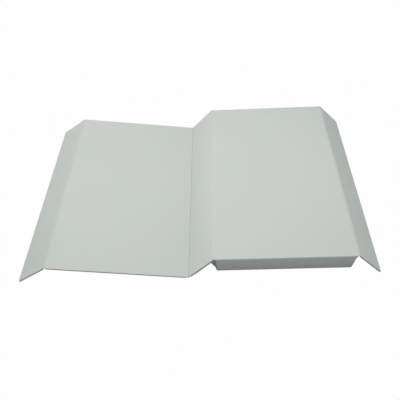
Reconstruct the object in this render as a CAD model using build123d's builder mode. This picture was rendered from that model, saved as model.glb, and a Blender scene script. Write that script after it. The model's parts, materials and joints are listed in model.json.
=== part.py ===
from build123d import *
from math import asin, atan, atan2, cos, degrees, hypot, radians, sin
import os

# Collapsible gift box with a magnetic flap, opened out and lying face down: the outsides face up.
# X runs across the folds from the flap to the front wall, Y runs along the folds, Z is up.
# Millimetres. The origin is on the resting surface, under the middle of the opened box.

# panels, measured on the outside from fold to fold, or from a fold to the free edge
base_width = 150.0
box_length = 264.0
box_height = 39.5

# layers of a panel
paper = 0.2
board = 1.5
panel_corner = 1.2
lining_corner = 0.8
turn_in = 12.0
lining_inset = 2.0

# folds and closing clearances
hinge_gap = 5.0
fold_slit = 0.25
lid_on_front = 0.3
flap_on_front = 1.5
flap_short = 0.2

# resting pose
fold_angle = 46.6
lid_slope = 8.0

# side walls and corner webs
side_below_front = 5.9
side_end_gap = 4.0
side_top_gap = 0.3
base_lining_gap = 1.0
web_paper = 0.3
web_gap = 0.4
web_tip_cut = 3.0

# closure
disc_diameter = 12.0
disc_thickness = 1.0
disc_spacing = 132.0

thickness = board + 2 * paper
full_depth = thickness + paper
lid_width = base_width + thickness + flap_on_front
front_height = box_height - thickness - lid_on_front
flap_height = box_height - flap_short
side_height = front_height - thickness - side_below_front
disc_reach = flap_height / 2
board_end = hinge_gap / 2
body_end = board_end - paper

# The corner webs tie the folds together: the side walls lean in as the end walls open out.
side_lean = 2 * degrees(atan(1 / sin(radians(fold_angle)))) - 90
lean = radians(side_lean)
fold = radians(fold_angle)
slope = radians(lid_slope)

# The box stands on the free edges of its side walls and of its flap.
base_top = thickness + side_height * cos(lean) + thickness * sin(lean)
lid_fold_x = -box_height * cos(fold)
lid_fold_z = base_top - box_height * sin(fold)
flap_fold_x = lid_fold_x - lid_width * cos(slope)
flap_fold_z = lid_fold_z + lid_width * sin(slope)
flap_slope = asin(flap_fold_z / hypot(flap_height, thickness)) - atan2(thickness, flap_height)
flap_tip_x = flap_fold_x - flap_height * cos(flap_slope)
front_tip_x = base_width + front_height * cos(fold)
middle_x = (flap_tip_x + front_tip_x) / 2

side_axis_y = box_length / 2 - thickness
side_axis_z = base_top - thickness


def fold_plane(x, z, angle, side):
    """A panel's outside face, with X away from its fold and Z out of the box."""
    return Plane(
        origin=(x - middle_x, 0, z),
        x_dir=(side * cos(angle), 0, -sin(angle)),
        z_dir=(side * sin(angle), 0, cos(angle)),
    )


def side_plane(side):
    """A side wall's outside face, with X down the wall; side is -1 for the near wall, 1 for the far."""
    out_y = side * cos(lean)
    return Plane(
        origin=(
            base_width / 2 - middle_x,
            side * side_axis_y + thickness * out_y,
            side_axis_z - thickness * sin(lean),
        ),
        x_dir=(0, -side * sin(lean), -cos(lean)),
        z_dir=(0, out_y, -sin(lean)),
    )


base_plane = fold_plane(0, base_top, 0, 1)
spine_plane = fold_plane(0, base_top, fold, -1)
lid_plane = fold_plane(lid_fold_x, lid_fold_z, -slope, -1)
flap_plane = fold_plane(flap_fold_x, flap_fold_z, flap_slope, -1)
front_plane = fold_plane(base_width, base_top, fold, 1)

os.makedirs("parts", exist_ok=True)


def save(name, piece):
    piece.part.label = name
    export_step(piece.part, f"parts/{name}.step")


def outline(plane, depth, start, end, length, corner):
    """A rounded rectangle depth under a panel's outside face, from start to end across the panel."""
    with BuildSketch(plane.offset(-depth)) as sheet:
        with Locations(((start + end) / 2, 0)):
            RectangleRounded(end - start, length, corner)
    return sheet.sketch


def disc_outline(plane, depth):
    """The circles of the two closing discs, depth under a panel's outside face."""
    with BuildSketch(plane.offset(-depth)) as circles:
        with Locations((disc_reach, 0)):
            with GridLocations(disc_spacing, disc_spacing, 1, 2):
                Circle(disc_diameter / 2)
    return circles.sketch


class Panel:
    """A stiff panel: its place, its size, and where its layers end at a fold or at a free edge."""

    def __init__(self, name, plane, width, length, start_fold=True, end_fold=False, start=0, edge=lining_inset):
        self.name = name
        self.plane = plane
        self.length = length
        self.edge = edge
        self.skin = (start + (fold_slit if start_fold else 0), width - (fold_slit if end_fold else 0))
        self.body = (start + (body_end if start_fold else 0), width - (body_end if end_fold else 0))
        self.core = (start + (board_end if start_fold else paper), width - (board_end if end_fold else paper))
        self.window = (
            start + (board_end if start_fold else turn_in / 2),
            width - (board_end if end_fold else turn_in),
        )
        self.cover = (
            start + (board_end if start_fold else lining_inset),
            width - (board_end if end_fold else lining_inset),
        )

    def core_outline(self):
        length = self.length - 2 * paper
        return outline(self.plane, paper + board, *self.core, length, panel_corner - paper)

    def window_outline(self):
        return outline(self.plane, thickness, *self.window, self.length - 2 * turn_in, lining_corner)


def board_of(panel, disc_depth=None):
    """The greyboard core; disc_depth is the depth of the pockets' lower face under the outside."""
    with BuildPart() as core:
        extrude(panel.core_outline(), amount=board)
        if disc_depth:
            extrude(disc_outline(panel.plane, disc_depth), amount=disc_thickness, mode=Mode.SUBTRACT)
    save(f"{panel.name}_board", core)


def wrap_of(panel):
    """The outside paper: the skin, the covered board edges and the strip turned in behind them."""
    with BuildPart() as wrap:
        extrude(outline(panel.plane, thickness, *panel.body, panel.length, panel_corner), amount=thickness)
        extrude(outline(panel.plane, paper, *panel.skin, panel.length, panel_corner), amount=paper)
        extrude(panel.core_outline(), amount=board, mode=Mode.SUBTRACT)
        extrude(panel.window_outline(), amount=paper, mode=Mode.SUBTRACT)
    save(f"{panel.name}_wrap", wrap)


def lining_of(panel):
    """The inside paper: it dips onto the board within the turned-in strip and covers that strip."""
    with BuildPart() as lining:
        extrude(panel.window_outline(), amount=paper)
        cover_length = panel.length - 2 * panel.edge
        extrude(outline(panel.plane, full_depth, *panel.cover, cover_length, lining_corner), amount=paper)
    save(f"{panel.name}_lining", lining)


# the side walls stop short of the folds, and the base lining stops short of the side walls
side_length = base_width - 2 * side_end_gap
base_lining_edge = full_depth + base_lining_gap

base = Panel("base", base_plane, base_width, box_length, end_fold=True, edge=base_lining_edge)
spine = Panel("spine", spine_plane, box_height, box_length, end_fold=True)
lid = Panel("lid", lid_plane, lid_width, box_length, end_fold=True)
flap = Panel("flap", flap_plane, flap_height, box_length)
front = Panel("front_wall", front_plane, front_height, box_length)
near_side = Panel("near_side_wall", side_plane(-1), side_height, side_length, start_fold=False, start=side_top_gap)
far_side = Panel("far_side_wall", side_plane(1), side_height, side_length, start_fold=False, start=side_top_gap)

flap_disc_depth = paper + board
front_disc_depth = paper + disc_thickness

board_of(base)
board_of(spine)
board_of(lid)
board_of(flap, flap_disc_depth)
board_of(front, front_disc_depth)
board_of(near_side)
board_of(far_side)

for panel in (base, spine, lid, flap, front, near_side, far_side):
    wrap_of(panel)
    lining_of(panel)

# The magnets lie against the flap's lining, the steel discs against the front wall's wrap.
with BuildPart() as flap_magnets:
    extrude(disc_outline(flap_plane, flap_disc_depth), amount=disc_thickness)
save("flap_magnets", flap_magnets)

with BuildPart() as front_discs:
    extrude(disc_outline(front_plane, front_disc_depth), amount=disc_thickness)
save("front_steel_discs", front_discs)


def glued_web(name, plane, side):
    """The half of a corner web that is stuck to the inside of an end wall, below the 45 degree crease."""
    start = board_end + lining_inset
    end = thickness + side_height - web_gap
    edge = side * (box_length / 2 - lining_inset - web_gap)
    with BuildPart() as web:
        with BuildSketch(plane.offset(-full_depth - web_paper)):
            with BuildLine():
                Polyline(
                    (start, edge),
                    (end, edge),
                    (end, edge - side * (end - start)),
                    close=True,
                )
            make_face()
        extrude(amount=web_paper)
    save(name, web)


def swinging_web(name, end, side):
    """The half of a corner web that hangs on a side wall's end; end is -1 at the spine, 1 at the front."""
    wall = side_plane(side)
    hinge = wall.offset(-thickness).origin + Vector(end * (side_length / 2 + web_gap), 0, 0)
    swing = Vector(end * cos(fold), 0, 0) - wall.z_dir * sin(fold)
    web_plane = Plane(origin=hinge, x_dir=wall.x_dir, z_dir=wall.x_dir.cross(swing))
    crease = side_height - web_tip_cut
    with BuildPart() as web:
        with BuildSketch(web_plane):
            with BuildLine():
                Polyline(
                    (side_top_gap + web_gap, 0),
                    (side_height - web_gap, 0),
                    (side_height - web_gap, crease),
                    (crease, crease),
                    close=True,
                )
            make_face()
        extrude(amount=web_paper / 2, both=True)
    save(name, web)


# On a plane whose X runs down the panel, the near edge lies at plus Y on the spine and minus Y on the front.
glued_web("near_spine_glued_web", spine_plane, 1)
glued_web("far_spine_glued_web", spine_plane, -1)
glued_web("near_front_glued_web", front_plane, -1)
glued_web("far_front_glued_web", front_plane, 1)
swinging_web("near_spine_web", -1, -1)
swinging_web("far_spine_web", -1, 1)
swinging_web("near_front_web", 1, -1)
swinging_web("far_front_web", 1, 1)
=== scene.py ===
import json
import math
import bpy
import bmesh
from mathutils import Matrix, Quaternion, Vector
from mathutils.geometry import interpolate_bezier
from mathutils.noise import noise


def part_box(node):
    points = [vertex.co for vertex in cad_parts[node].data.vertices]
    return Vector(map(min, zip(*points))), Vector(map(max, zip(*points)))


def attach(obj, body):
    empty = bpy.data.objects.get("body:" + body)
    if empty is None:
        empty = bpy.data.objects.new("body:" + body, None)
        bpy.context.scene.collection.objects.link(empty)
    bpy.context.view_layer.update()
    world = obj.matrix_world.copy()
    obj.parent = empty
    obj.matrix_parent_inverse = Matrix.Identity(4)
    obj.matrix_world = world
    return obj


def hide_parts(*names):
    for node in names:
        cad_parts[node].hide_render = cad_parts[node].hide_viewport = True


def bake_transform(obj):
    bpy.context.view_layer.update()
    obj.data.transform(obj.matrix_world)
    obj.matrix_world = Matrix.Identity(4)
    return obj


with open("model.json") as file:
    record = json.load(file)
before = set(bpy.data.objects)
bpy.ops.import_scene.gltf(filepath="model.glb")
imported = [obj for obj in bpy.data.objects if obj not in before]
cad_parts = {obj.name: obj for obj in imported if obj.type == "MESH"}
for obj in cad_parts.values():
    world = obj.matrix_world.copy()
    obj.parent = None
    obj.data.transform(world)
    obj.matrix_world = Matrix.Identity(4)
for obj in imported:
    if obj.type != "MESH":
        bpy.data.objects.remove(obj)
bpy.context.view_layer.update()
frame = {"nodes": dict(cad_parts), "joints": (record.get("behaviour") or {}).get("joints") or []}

# A collapsible gift box, opened out and lying face down. Metres, in the frame's own axes.
mm = 0.001
joints = {joint["name"]: joint for joint in frame["joints"]}
upAxis = Vector((0, 0, 1))


def foldPoint(name):
    return Vector(joints[name]["pos_m"])       # where the fold's line crosses the middle of the box


# places and depths, all read from the frame
spineFold = foldPoint("spine_fold")
frontFold = foldPoint("front_fold")
lidFold = foldPoint("lid_fold")
flapFold = foldPoint("flap_fold")
baseLow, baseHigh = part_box("base_wrap")
boxLength = baseHigh.y - baseLow.y
panelDepth = baseHigh.z - baseLow.z
paperDepth = baseHigh.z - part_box("base_board")[1].z
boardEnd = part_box("base_board")[0].x - spineFold.x     # from a fold line to the edge of its board
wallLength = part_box("near_side_wall_wrap")[1].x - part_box("near_side_wall_wrap")[0].x
frontSlope = -math.radians(joints["front_fold"]["range_deg"][0])
spineSlope = math.atan2(spineFold.z - lidFold.z, spineFold.x - lidFold.x)
lidSlope = math.atan2(lidFold.z - flapFold.z, lidFold.x - flapFold.x)
flapSlope = math.radians(90 - joints["flap_fold"]["range_deg"][1]) + lidSlope
sideLean = math.asin(joints["near_spine_web_fold"]["axis"][1])


# A matrix whose X is along, Z is out, and whose origin is a point.
def placeMatrix(origin, along, out):
    matrix = Matrix((along, out.cross(along), out)).transposed().to_4x4()
    matrix.translation = origin
    return matrix


# A panel's outside: X runs down from its fold, to the right for side 1 and to the left for -1.
def panelMatrix(origin, slope, side):
    along = Vector((side * math.cos(slope), 0, -math.sin(slope)))
    out = Vector((side * math.sin(slope), 0, math.cos(slope)))
    return placeMatrix(origin, along, out)


# A side wall's outside, with X down the wall; side is -1 for the near wall and 1 for the far one.
def wallMatrix(side):
    hinge = foldPoint("near_side_fold" if side < 0 else "far_side_fold")
    out = Vector((0, side * math.cos(sideLean), -math.sin(sideLean)))
    along = Vector((0, -side * math.sin(sideLean), -math.cos(sideLean)))
    return placeMatrix(hinge + out * panelDepth, along, out)


bpy.context.scene.view_settings.view_transform = "Standard"

cameraView = {
    "place": (0.02888, -0.46496, 0.44730),
    "turn": -3.391,                             # degrees, towards +X from the Y axis
    "down": 44.688,
    "roll": -4.119,
    "lens": 46.45,
    "sensor": 36,
}


def makeCamera(view):
    data = bpy.data.cameras.new("camera")
    data.lens = view["lens"]
    data.sensor_width = view["sensor"]
    data.clip_start = 10 * mm
    camera = bpy.data.objects.new("camera", data)
    bpy.context.collection.objects.link(camera)
    turn = math.radians(view["turn"])
    down = math.radians(view["down"])
    ahead = Vector((math.sin(turn) * math.cos(down), math.cos(turn) * math.cos(down), -math.sin(down)))
    aim = ahead.to_track_quat("-Z", "Y") @ Quaternion((0, 0, 1), math.radians(view["roll"]))
    camera.location = view["place"]
    camera.rotation_euler = aim.to_euler()
    bpy.context.scene.camera = camera


makeCamera(cameraView)
print("camera placed")


def newMaterial(name):
    material = bpy.data.materials.new(name)
    material.use_nodes = True
    return material, material.node_tree, material.node_tree.nodes["Principled BSDF"]


# A node whose named inputs are set to values or linked to sockets.
def addNode(tree, kind, **inputs):
    node = tree.nodes.new(kind)
    for key, value in inputs.items():
        socket = node.inputs[key.replace("_", " ")]
        if isinstance(value, bpy.types.NodeSocket):
            tree.links.new(value, socket)
        else:
            socket.default_value = value
    return node


def colourRamp(tree, factor, stops):
    node = addNode(tree, "ShaderNodeValToRGB", Fac=factor)
    while len(node.color_ramp.elements) < len(stops):
        node.color_ramp.elements.new(0.5)
    for element, (position, colour) in zip(node.color_ramp.elements, stops):
        element.position = position
        element.color = (*colour, 1)
    return node.outputs["Color"]


def mapRange(tree, value, low, high):
    return addNode(tree, "ShaderNodeMapRange", Value=value, To_Min=low, To_Max=high).outputs["Result"]


def noiseHeight(tree, place, scale, detail, stretch=None):
    if stretch:
        place = addNode(tree, "ShaderNodeMapping", Vector=place, Scale=stretch).outputs["Vector"]
    return addNode(tree, "ShaderNodeTexNoise", Vector=place, Scale=scale, Detail=detail).outputs["Fac"]


def relief(tree, height, distance, **under):
    return addNode(tree, "ShaderNodeBump", Height=height, Distance=distance, **under).outputs["Normal"]


paperLook = {
    "cool": (0.559, 0.586, 0.548),
    "warm": (0.580, 0.585, 0.545),
    "tintSpread": (0.36, 0.64),
    "patchScale": 17.0,                         # patches of tint about 60 mm across
    "patchDetail": 3.0,
    "fibreScale": 1400.0,                       # pressed fibres, under a millimetre long
    "fibreDetail": 4.0,
    "fibreStretch": (1.0, 0.4, 1.0),
    "fibreTone": 0.018,
    "fibreDepth": 0.016 * mm,
    "waveScale": 30.0,                          # slow swells of the glued paper
    "waveDetail": 1.0,
    "waveDepth": 0.35 * mm,
    "creaseScale": 900.0,
    "creaseDetail": 3.0,
    "creaseStretch": (1.0, 0.03, 1.0),          # creases run along Y, as the folds do
    "creaseDepth": 0.0,
    "roughness": (0.55, 0.68),
    "specular": 0.3,
}


# Matte paper: patches of tint, pressed fibres, slow swells and, on a fold, fine creases.
def paperMaterial(name, look):
    material, tree, surface = newMaterial(name)
    place = addNode(tree, "ShaderNodeTexCoord").outputs["Object"]
    patches = noiseHeight(tree, place, look["patchScale"], look["patchDetail"])
    tint = colourRamp(tree, patches, list(zip(look["tintSpread"], (look["cool"], look["warm"]))))
    fibres = noiseHeight(tree, place, look["fibreScale"], look["fibreDetail"], look["fibreStretch"])
    tone = mapRange(tree, fibres, 1 - look["fibreTone"], 1 + look["fibreTone"])
    colour = addNode(tree, "ShaderNodeHueSaturation", Value=tone, Color=tint).outputs["Color"]
    tree.links.new(colour, surface.inputs["Base Color"])
    tree.links.new(mapRange(tree, fibres, *look["roughness"]), surface.inputs["Roughness"])
    surface.inputs["Specular IOR Level"].default_value = look["specular"]
    swells = noiseHeight(tree, place, look["waveScale"], look["waveDetail"])
    normal = relief(tree, swells, look["waveDepth"])
    if look["creaseDepth"]:
        creases = noiseHeight(tree, place, look["creaseScale"], look["creaseDetail"], look["creaseStretch"])
        normal = relief(tree, creases, look["creaseDepth"], Normal=normal)
    normal = relief(tree, fibres, look["fibreDepth"], Normal=normal)
    tree.links.new(normal, surface.inputs["Normal"])
    return material


boardLook = {
    "dark": (0.17, 0.165, 0.15),
    "light": (0.30, 0.29, 0.265),
    "spread": (0.3, 0.7),
    "scale": 900.0,
    "detail": 6.0,
    "depth": 0.05 * mm,
    "roughness": 0.9,
}


# Raw greyboard: recycled fibres in greys and browns.
def boardMaterial(name, look):
    material, tree, surface = newMaterial(name)
    place = addNode(tree, "ShaderNodeTexCoord").outputs["Object"]
    fibres = noiseHeight(tree, place, look["scale"], look["detail"])
    colour = colourRamp(tree, fibres, list(zip(look["spread"], (look["dark"], look["light"]))))
    tree.links.new(colour, surface.inputs["Base Color"])
    surface.inputs["Roughness"].default_value = look["roughness"]
    tree.links.new(relief(tree, fibres, look["depth"]), surface.inputs["Normal"])
    return material


metalLook = {
    "spread": (0.3, 0.7),
    "scale": 2500.0,                            # a fine tumbled finish
    "detail": 5.0,
    "wornTone": 0.85,
    "wornRoughness": 0.15,
}


def metalMaterial(name, tone, roughness, look):
    material, tree, surface = newMaterial(name)
    place = addNode(tree, "ShaderNodeTexCoord").outputs["Object"]
    marks = noiseHeight(tree, place, look["scale"], look["detail"])
    worn = [look["wornTone"] * part for part in tone]
    colour = colourRamp(tree, marks, list(zip(look["spread"], (worn, tone))))
    tree.links.new(colour, surface.inputs["Base Color"])
    wear = mapRange(tree, marks, roughness, roughness + look["wornRoughness"])
    tree.links.new(wear, surface.inputs["Roughness"])
    surface.inputs["Metallic"].default_value = 1.0
    return material


wrapPaper = paperMaterial("wrapPaper", paperLook)
foldShadePaper = paperMaterial(
    "foldShadePaper",                                # painted shade: the paper is made darker where it bends
    {**paperLook, "cool": (0.545, 0.571, 0.534), "warm": (0.566, 0.571, 0.532), "creaseDepth": 0.05 * mm},
)
edgeShadePaper = paperMaterial(
    "edgeShadePaper",                                # painted shade: darker paper for the rims of the boards and the bottom of the pressed crease
    {**paperLook, "cool": (0.43, 0.435, 0.40), "warm": (0.45, 0.44, 0.40), "waveDepth": 0.1 * mm},
)
liningPaper = paperMaterial(
    "liningPaper",
    {**paperLook, "cool": (0.64, 0.655, 0.63), "warm": (0.66, 0.655, 0.62), "fibreDepth": 0.012 * mm},
)
greyBoard = boardMaterial("greyBoard", boardLook)
magnetPlate = metalMaterial("magnetPlate", (0.70, 0.69, 0.67), 0.25, metalLook)
discSteel = metalMaterial("discSteel", (0.52, 0.53, 0.54), 0.38, metalLook)


def dressNode(name, material):
    node = frame["nodes"][name]
    node.data.materials.clear()
    node.data.materials.append(material)


for nodeName in frame["nodes"]:
    if nodeName.endswith("_board"):
        dressNode(nodeName, greyBoard)
    elif nodeName.endswith("_lining"):
        dressNode(nodeName, liningPaper)
    elif nodeName.endswith("_web"):
        dressNode(nodeName, wrapPaper)
dressNode("flap_magnets", magnetPlate)
dressNode("front_steel_discs", discSteel)
print("materials made and frame nodes dressed")

# the outside paper of each panel
wrapShape = {
    "edgeRound": 0.30 * mm,                     # paper pulled over the crushed edge of the board
    "edgeSegments": 4,
    "rimTilt": 0.8,                             # faces turned further than this from the panel are its rim, and get painted shade
    "cornerRound": 1.2 * mm,
    "cornerSegments": 6,
    "turnIn": 12 * mm,
    "foldLip": 0.2 * mm,
    "hair": 0.01 * mm,                          # how near two coordinates count as the same
    "nearlyFlat": 0.3,                          # an edge is left alone if its faces' normals agree this much
    "facingIn": -0.5,                           # a face whose normal's Z is under this looks inwards
    "paperShare": 0.95,                         # of the CAD paper's depth, so that it clears the board
}


def same(first, second):
    return abs(first - second) < wrapShape["hair"]


def bevelEdges(bm, edges, offset, segments):
    bmesh.ops.bevel(
        bm,
        geom=edges,
        offset=offset,
        offset_type="OFFSET",
        segments=segments,
        profile=0.5,
        affect="EDGES",
        material=-1,
    )


def newPiece(name, bm, material):
    mesh = bpy.data.meshes.new(name)
    bm.to_mesh(mesh)
    bm.free()
    mesh.materials.append(material)
    piece = bpy.data.objects.new(name, mesh)
    bpy.context.collection.objects.link(piece)
    return piece


# The outside paper round a board: rounded edges, mitred turn-ins, and an open window behind the lining.
# start and end are along the panel's X. foldEnds are the ends that run into a fold. A sharp edge is left
# where a fold sheet joins on: along both sides of the bottom, or along the start of the outside.
def wrappedPanel(name, place, start, end, width, foldEnds=(), sharpBottom=False, sharpStart=False):
    bm = bmesh.new()
    bmesh.ops.create_cube(bm, size=1)
    bmesh.ops.scale(bm, vec=(end - start, width, panelDepth), verts=bm.verts)
    bmesh.ops.translate(bm, vec=((start + end) / 2, 0, -panelDepth / 2), verts=bm.verts)

    inside = [face for face in bm.faces if face.normal.z < wrapShape["facingIn"]]
    bmesh.ops.inset_region(bm, faces=inside, thickness=wrapShape["turnIn"], use_even_offset=True)
    for vert in inside[0].verts:
        for foldEnd in foldEnds:
            if abs(vert.co.x - foldEnd) < wrapShape["turnIn"] + wrapShape["hair"]:
                vert.co.x = foldEnd + math.copysign(wrapShape["foldLip"], vert.co.x - foldEnd)
    bmesh.ops.delete(bm, geom=inside, context="FACES")

    def atFold(edge):
        return any(same(vert.co.x, foldEnd) for foldEnd in foldEnds for vert in edge.verts)

    corners = [
        edge
        for edge in bm.edges
        if same(edge.verts[0].co.x, edge.verts[1].co.x)
        and same(edge.verts[0].co.y, edge.verts[1].co.y)
        and not atFold(edge)
    ]
    bevelEdges(bm, corners, wrapShape["cornerRound"], wrapShape["cornerSegments"])

    def rounded(edge):
        if len(edge.link_faces) < 2:
            return False
        if edge.link_faces[0].normal.dot(edge.link_faces[1].normal) > wrapShape["nearlyFlat"]:
            return False
        spots = [vert.co for vert in edge.verts]
        if any(all(same(spot.x, foldEnd) for spot in spots) for foldEnd in foldEnds):
            return False
        if sharpBottom and all(same(spot.z, -panelDepth) for spot in spots):
            return False
        return not (sharpStart and all(same(spot.z, 0) and same(spot.x, start) for spot in spots))

    bmesh.ops.recalc_face_normals(bm, faces=bm.faces)
    edges = [edge for edge in bm.edges if rounded(edge)]
    bevelEdges(bm, edges, wrapShape["edgeRound"], wrapShape["edgeSegments"])
    bm.normal_update()
    # painted shade: the rim faces get the darker edge paper
    if not sharpBottom:
        for face in bm.faces:
            face.material_index = int(abs(face.normal.z) < wrapShape["rimTilt"])
    bmesh.ops.transform(bm, matrix=place, verts=bm.verts)
    piece = newPiece(name, bm, wrapPaper)
    piece.data.materials.append(edgeShadePaper)
    wall = piece.modifiers.new("paperThickness", "SOLIDIFY")
    wall.thickness = wrapShape["paperShare"] * paperDepth
    wall.offset = -1
    return piece


bodyEnd = boardEnd - paperDepth                   # from a fold line to the end of the wrapped edge
spineWidth = (lidFold - spineFold).length
baseWidth = (frontFold - spineFold).length
lidWidth = (flapFold - lidFold).length
flapWidth = (flapFold.z - panelDepth * math.cos(flapSlope)) / math.sin(flapSlope)
frontWidth = (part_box("front_wall_wrap")[1].x - frontFold.x) / math.cos(frontSlope)
wallHinge = foldPoint("near_side_fold")
wallGap = (wallHinge.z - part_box("near_side_wall_wrap")[1].z) / math.cos(sideLean)
wallWidth = (wallHinge.z - panelDepth * math.sin(sideLean)) / math.cos(sideLean)

spineMatrix = panelMatrix(spineFold, spineSlope, -1)
baseMatrix = panelMatrix(spineFold, 0, 1)
lidMatrix = panelMatrix(lidFold, lidSlope, -1)
flapMatrix = panelMatrix(flapFold, flapSlope, -1)
frontMatrix = panelMatrix(frontFold, frontSlope, 1)
nearMatrix = wallMatrix(-1)
farMatrix = wallMatrix(1)

panels = {
    "base": {"place": baseMatrix, "reach": baseWidth, "folds": 2, "sharpBottom": True},
    "spine": {"place": spineMatrix, "reach": spineWidth, "folds": 2},
    "lid": {"place": lidMatrix, "reach": lidWidth, "folds": 2},
    "flap": {"place": flapMatrix, "reach": flapWidth, "folds": 1},
    "front_wall": {"place": frontMatrix, "reach": frontWidth, "folds": 1},
}
for bodyName, panel in panels.items():
    endFold = panel["folds"] == 2
    panelEnd = panel["reach"] - (bodyEnd if endFold else 0)
    piece = wrappedPanel(
        bodyName + "_paper",
        panel["place"],
        bodyEnd,
        panelEnd,
        boxLength,
        foldEnds=(bodyEnd, panelEnd) if endFold else (bodyEnd,),
        sharpBottom=panel.get("sharpBottom", False),
    )
    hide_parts(bodyName + "_wrap")
    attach(piece, bodyName)

for bodyName, wallPlace in (("near_side_wall", nearMatrix), ("far_side_wall", farMatrix)):
    piece = wrappedPanel(bodyName + "_paper", wallPlace, wallGap, wallWidth, wallLength, sharpStart=True)
    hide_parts(bodyName + "_wrap")
    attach(piece, bodyName)
print("panels wrapped")

# A sheet swept along a direction; profileAt gives the cross-section at each station along it.
def bentSheet(name, profileAt, along, stations, outward, depth, offset, material):
    bm = bmesh.new()
    rows = []
    for station in stations:
        shift = along * station
        rows.append([bm.verts.new(point + shift) for point in profileAt(station)])
    for row, nextRow in zip(rows, rows[1:]):
        for index in range(len(row) - 1):
            bm.faces.new((row[index], row[index + 1], nextRow[index + 1], nextRow[index]))
    bm.normal_update()
    bm.faces.ensure_lookup_table()
    if bm.faces[0].normal.dot(outward) < 0:
        bmesh.ops.reverse_faces(bm, faces=bm.faces)
    for face in bm.faces:
        face.smooth = True
    piece = newPiece(name, bm, material)
    wall = piece.modifiers.new("paperThickness", "SOLIDIFY")
    wall.thickness = depth
    wall.offset = offset
    return piece


# A flat sheet with those corners, thickened away from the outward side.
def flatSheet(name, corners, outward, depth, material):
    bm = bmesh.new()
    face = bm.faces.new([bm.verts.new(corner) for corner in corners])
    bm.normal_update()
    if face.normal.dot(outward) < 0:
        bmesh.ops.reverse_faces(bm, faces=[face])
    piece = newPiece(name, bm, material)
    wall = piece.modifiers.new("paperThickness", "SOLIDIFY")
    wall.thickness = depth
    wall.offset = -1
    return piece


def evenStations(length, count):
    return [length * (index / count - 0.5) for index in range(count + 1)]


# the four long folds: three soft ones, and a pressed crease between the spine and the lid
foldShape = {
    "points": 15,
    "innerDepth": 0.2 * mm,
    "tuck": 0.5 * mm,                           # how far a fold sheet runs on under each panel's wrap
    "stations": 132,
    "edgeInset": 0.15 * mm,
    "wanderScale": 45.0,                        # how fast a crease wanders along the fold
    "wanderShift": 50.0,                        # so that no two folds wander alike
    "middleShare": 0.75,                        # a curve's middle moves this much of what its handles do
}
softFold = {"tight": 0.56, "wander": 0.06, "depth": 0.4 * mm, "dip": 1.1 * mm}
sharpFold = {"wander": 0.9, "notch": 0.2 * mm, "sink": 0.2 * mm, "depth": 0.9 * mm, "dip": -0.7 * mm}
folds = {
    "spine_fold": {"point": spineFold, "panels": ("base", "spine"), **softFold},
    "front_fold": {"point": frontFold, "panels": ("base", "front_wall"), **softFold},
    "lid_fold": {"point": lidFold, "panels": ("spine", "lid"), **sharpFold},
    "flap_fold": {"point": flapFold, "panels": ("lid", "flap"), **softFold},
}
foldOuterLength = boxLength - 2 * foldShape["edgeInset"]
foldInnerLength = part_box("lid_lining")[1].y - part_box("lid_lining")[0].y


# A panel's direction away from a fold at that point, and its outward direction.
def panelAxes(bodyName, point):
    place = panels[bodyName]["place"]
    away = place.col[0].to_3d().normalized()
    if (place.translation - point).length > boardEnd:
        away = -away
    return away, place.col[2].to_3d().normalized()


def makeFold(foldName, fold):
    foldAt = fold["point"]
    (awayA, outA), (awayB, outB) = (panelAxes(bodyName, foldAt) for bodyName in fold["panels"])
    start, end = foldAt + awayA * bodyEnd, foldAt + awayB * bodyEnd
    tuckA = start + awayA * foldShape["tuck"] - outA * wrapShape["hair"]
    tuckB = end + awayB * foldShape["tuck"] - outB * wrapShape["hair"]

    def outerProfile(station):
        spot = (foldAt.x * foldShape["wanderShift"], station * foldShape["wanderScale"], 0)
        swing = fold["wander"] * noise(Vector(spot))
        if "notch" in fold:
            sink = (outA + outB).normalized() * fold["sink"] * (1 + swing)
            lips = [foldAt + away * fold["notch"] for away in (awayA, awayB)]
            return [tuckA, start, lips[0], foldAt - sink, lips[1], end, tuckB]
        pull = bodyEnd * (fold["tight"] + swing)
        curve = interpolate_bezier(start, start - awayA * pull, end - awayB * pull, end, foldShape["points"])
        return [tuckA, *curve, tuckB]

    innerDepth = panelDepth + foldShape["innerDepth"] / 2
    innerStart = foldAt + awayA * boardEnd - outA * innerDepth
    innerEnd = foldAt + awayB * boardEnd - outB * innerDepth
    rise = fold["dip"] / foldShape["middleShare"]
    innerCurve = interpolate_bezier(
        innerStart, innerStart + outA * rise, innerEnd + outB * rise, innerEnd, foldShape["points"]
    )
    # the soft folds' outer paper carries painted shade
    outer = bentSheet(
        foldName + "_paper",
        outerProfile,
        Vector((0, 1, 0)),
        evenStations(foldOuterLength, foldShape["stations"]),
        outA,
        fold["depth"],
        -1,
        wrapPaper if "notch" in fold else foldShadePaper,
    )
    inner = bentSheet(
        foldName + "_lining",
        lambda station: innerCurve,
        Vector((0, 1, 0)),
        evenStations(foldInnerLength, 2),
        outA,
        foldShape["innerDepth"],
        0,
        liningPaper,
    )
    if "notch" in fold:                         # a pressed crease: sharp, with painted shade at the bottom
        outer.data.materials.append(edgeShadePaper)
        for polygon in outer.data.polygons:
            polygon.use_smooth = False
            aside = (polygon.center - foldAt).cross(Vector((0, 1, 0))).length
            polygon.material_index = int(aside < 2 * fold["notch"])
    for sheet in (outer, inner):
        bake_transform(sheet)


for foldName, fold in folds.items():
    makeFold(foldName, fold)
print("folds made")

# each side wall's fold, and the paper webs at its two ends
sideShape = {
    "points": 6,
    "outerPull": 0.3 * mm,
    "outerDepth": 0.3 * mm,
    "innerPull": 1.0 * mm,
    "innerDepth": 0.15 * mm,
    "wallCover": 2.3 * mm,                      # how far down the wall its lining starts
}
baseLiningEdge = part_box("base_lining")[1].y


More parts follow.
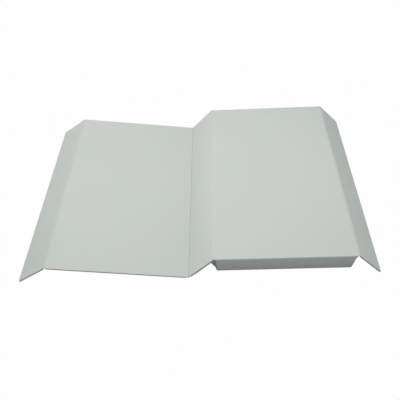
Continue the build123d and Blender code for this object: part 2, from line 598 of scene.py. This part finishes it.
def makeSideFold(sideName, side, place):
    down = place.col[0].to_3d()
    out = place.col[2].to_3d()
    baseEdge = Vector((wallHinge.x, side * boxLength / 2, wallHinge.z))
    wallEdge = place.translation + down * wallGap
    pull = sideShape["outerPull"]
    outerCurve = interpolate_bezier(
        baseEdge, baseEdge - upAxis * pull, wallEdge - down * pull, wallEdge, sideShape["points"]
    )

    depth = sideShape["innerDepth"]
    hinge = Vector((wallHinge.x, side * abs(wallHinge.y), wallHinge.z))
    start = Vector((wallHinge.x, side * baseLiningEdge, wallHinge.z - depth))
    end = hinge + down * sideShape["wallCover"] - out * depth
    pull = sideShape["innerPull"]
    innerCurve = interpolate_bezier(
        start, start + Vector((0, side * pull, 0)), end - down * pull, end, sideShape["points"]
    )

    # painted shade: the side fold's outer paper is the darker fold paper
    layers = {
        "paper": (outerCurve, sideShape["outerDepth"], -1, foldShadePaper, "wrap_paper"),
        "lining": (innerCurve, depth, 0, liningPaper, "lining_paper"),
    }
    for layerName, (curve, thickness, offset, material, slotName) in layers.items():
        sheet = bentSheet(
            sideName + "_side_fold_" + layerName,
            lambda station: curve,
            Vector((1, 0, 0)),
            evenStations(wallLength, 2),
            out,
            thickness,
            offset,
            material,
        )
        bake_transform(sheet)


webShape = {
    "points": 12,
    "reach": 2.0 * mm,
    "pull": 1.9 * mm,
    "depth": 0.3 * mm,
    "creaseGap": 0.3 * mm,
    "creaseCut": 3.0 * mm,
}
webEnds = {
    "spine": {"side": -1, "body": "spine", "fold": spineFold, "slope": spineSlope, "inset": 0.3 * mm},
    "front": {"side": 1, "body": "front_wall", "fold": frontFold, "slope": frontSlope, "inset": 1.5 * mm},
}
webGap = (wallHinge.x - wallLength / 2) - foldPoint("near_spine_web_fold").x
topDrop = wallGap + webGap                      # from a wall's hinge down to the top and bottom of its webs
bottomDrop = wallWidth - webGap


def makeWeb(sideName, side, place, endName):
    webEnd = webEnds[endName]
    webName = sideName + "_" + endName + "_web"
    webHinge = foldPoint(webName + "_fold")
    down = place.col[0].to_3d()
    out = place.col[2].to_3d()
    outward = Vector((webEnd["side"], 0, 0))
    swing = outward * math.cos(webEnd["slope"]) - out * math.sin(webEnd["slope"])

    # a soft bend from the wall's corner into the web
    middle = webHinge + down * (topDrop + bottomDrop) / 2
    wallCorner = middle - outward * webGap + out * (panelDepth - wrapShape["edgeRound"])
    reached = middle + swing * webShape["reach"]
    pull = webShape["pull"]
    curve = interpolate_bezier(
        wallCorner, wallCorner + outward * pull, reached - swing * pull, reached, webShape["points"]
    )
    hinge = bentSheet(
        webName + "_hinge",
        lambda station: curve,
        down,
        evenStations(bottomDrop - topDrop, 2),
        out,
        webShape["depth"],
        0,
        wrapPaper,
    )
    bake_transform(hinge)

    # the web's two halves meet at a crease that leaves the corner at 45 degrees
    endFold = webEnd["fold"]
    endAway, endOut = panelAxes(webEnd["body"], endFold)
    gluedDepth = panelDepth + paperDepth
    endLift = (webHinge + (down + swing) * topDrop - endFold).dot(endOut) + gluedDepth + webShape["depth"]
    creaseShift = -endLift / swing.dot(endOut) - webShape["creaseGap"]

    def creasePoint(drop):
        return webHinge + down * drop + swing * (drop + creaseShift)

    cutDrop = bottomDrop - webShape["creaseCut"]
    swinging = flatSheet(
        webName + "_paper",
        [
            webHinge + down * topDrop,
            webHinge + down * bottomDrop,
            creasePoint(cutDrop) + down * webShape["creaseCut"],
            creasePoint(cutDrop),
            creasePoint(topDrop),
        ],
        out,
        webShape["depth"],
        wrapPaper,
    )
    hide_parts(webName)
    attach(swinging, webName)

    def gluedPoint(reach, edge):
        return Vector((endFold.x, side * edge, endFold.z)) + endAway * reach - endOut * gluedDepth

    creaseTop = creasePoint(topDrop)
    creaseSum = abs(creaseTop.y) + (creaseTop - endFold).dot(endAway)
    outerEdge = boxLength / 2 - webEnd["inset"]
    gluedEnd = panelDepth + bottomDrop
    glued = flatSheet(
        sideName + "_" + endName + "_glued_web_paper",
        [
            gluedPoint(boardEnd, outerEdge),
            gluedPoint(gluedEnd, outerEdge),
            gluedPoint(gluedEnd, creaseSum - gluedEnd),
            gluedPoint(boardEnd, creaseSum - boardEnd),
        ],
        endOut,
        webShape["depth"],
        wrapPaper,
    )
    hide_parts(sideName + "_" + endName + "_glued_web")
    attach(glued, webEnd["body"])


for sideName, side, wallPlace in (("near", -1, nearMatrix), ("far", 1, farMatrix)):
    makeSideFold(sideName, side, wallPlace)
    for endName in webEnds:
        makeWeb(sideName, side, wallPlace, endName)
print("side folds and webs made")

# a floor, the sky and three lamps
stageLook = {
    "brightSize": 80.0,
    "shadeSize": 6.0,
    "white": 0.991,
    "shade": (0.30, 0.30, 0.30),
    "skyTop": (0.160, 0.174, 0.177),
    "skySide": (0.895, 0.975, 0.992),
    "skyHorizon": (4.26, 4.65, 4.73),
    "horizonHeight": 0.03,
    "skyPower": 1.0,
}


def stagePlane(name, size, drop):
    bm = bmesh.new()
    bmesh.ops.create_grid(bm, x_segments=1, y_segments=1, size=size / 2)
    bmesh.ops.translate(bm, vec=(0, 0, -drop), verts=bm.verts)
    mesh = bpy.data.meshes.new(name)
    bm.to_mesh(mesh)
    bm.free()
    plane = bpy.data.objects.new(name, mesh)
    bpy.context.collection.objects.link(plane)
    return plane


# a bright sheet that only the camera sees, and under it a grey one that only the light meets
brightFloor = stagePlane("brightFloor", stageLook["brightSize"], 0.1 * mm)
bright = bpy.data.materials.new("bright")
bright.use_nodes = True
bright.node_tree.nodes.clear()
glow = addNode(bright.node_tree, "ShaderNodeEmission", Strength=stageLook["white"])
addNode(bright.node_tree, "ShaderNodeOutputMaterial", Surface=glow.outputs["Emission"])
brightFloor.data.materials.append(bright)
brightFloor.visible_diffuse = False
brightFloor.visible_glossy = False
brightFloor.visible_shadow = False
brightFloor.visible_transmission = False

shadeFloor = stagePlane("shadeFloor", stageLook["shadeSize"], 0.2 * mm)
shade, _, shadeSurface = newMaterial("shade")
shadeSurface.inputs["Base Color"].default_value = (*stageLook["shade"], 1)
shadeSurface.inputs["Roughness"].default_value = 1.0
shadeSurface.inputs["Specular IOR Level"].default_value = 0.0
shadeFloor.data.materials.append(shade)
shadeFloor.visible_camera = False

world = bpy.data.worlds.new("world")
bpy.context.scene.world = world
world.use_nodes = True
skyTree = world.node_tree
skyPlace = addNode(skyTree, "ShaderNodeTexCoord").outputs["Generated"]
skyHeight = addNode(skyTree, "ShaderNodeSeparateXYZ", Vector=skyPlace).outputs["Z"]
sky = colourRamp(
    skyTree,
    skyHeight,
    [
        (0.0, stageLook["skyHorizon"]),
        (stageLook["horizonHeight"], stageLook["skySide"]),
        (1.0, stageLook["skyTop"]),
    ],
)
background = skyTree.nodes["Background"]
skyTree.links.new(sky, background.inputs["Color"])
background.inputs["Strength"].default_value = stageLook["skyPower"]

lampColour = (1.0, 0.982, 0.985)
lamps = {
    "overhead": {"at": (-0.10, 0.0, 0.55), "to": (0, 0, 0), "size": 0.4, "power": 1.20},
    "backLeft": {"at": (-0.45, 0.45, 0.55), "to": (0, 0, 0), "size": 0.4, "power": 1.03},
    "right": {"at": (0.25, 0.0, 0.55), "to": (0, 0, 0), "size": 0.4, "power": 0.72},
}


def makeLamp(name, lamp):
    data = bpy.data.lights.new(name, "AREA")
    data.shape = "DISK"
    data.size = lamp["size"]
    data.energy = lamp["power"]
    data.color = lampColour
    light = bpy.data.objects.new(name, data)
    light.location = lamp["at"]
    aim = Vector(lamp["to"]) - Vector(lamp["at"])
    light.rotation_euler = aim.to_track_quat("-Z", "Y").to_euler()
    light.visible_camera = False
    bpy.context.collection.objects.link(light)


for lampName, lamp in lamps.items():
    makeLamp(lampName, lamp)
print("stage and lights made")
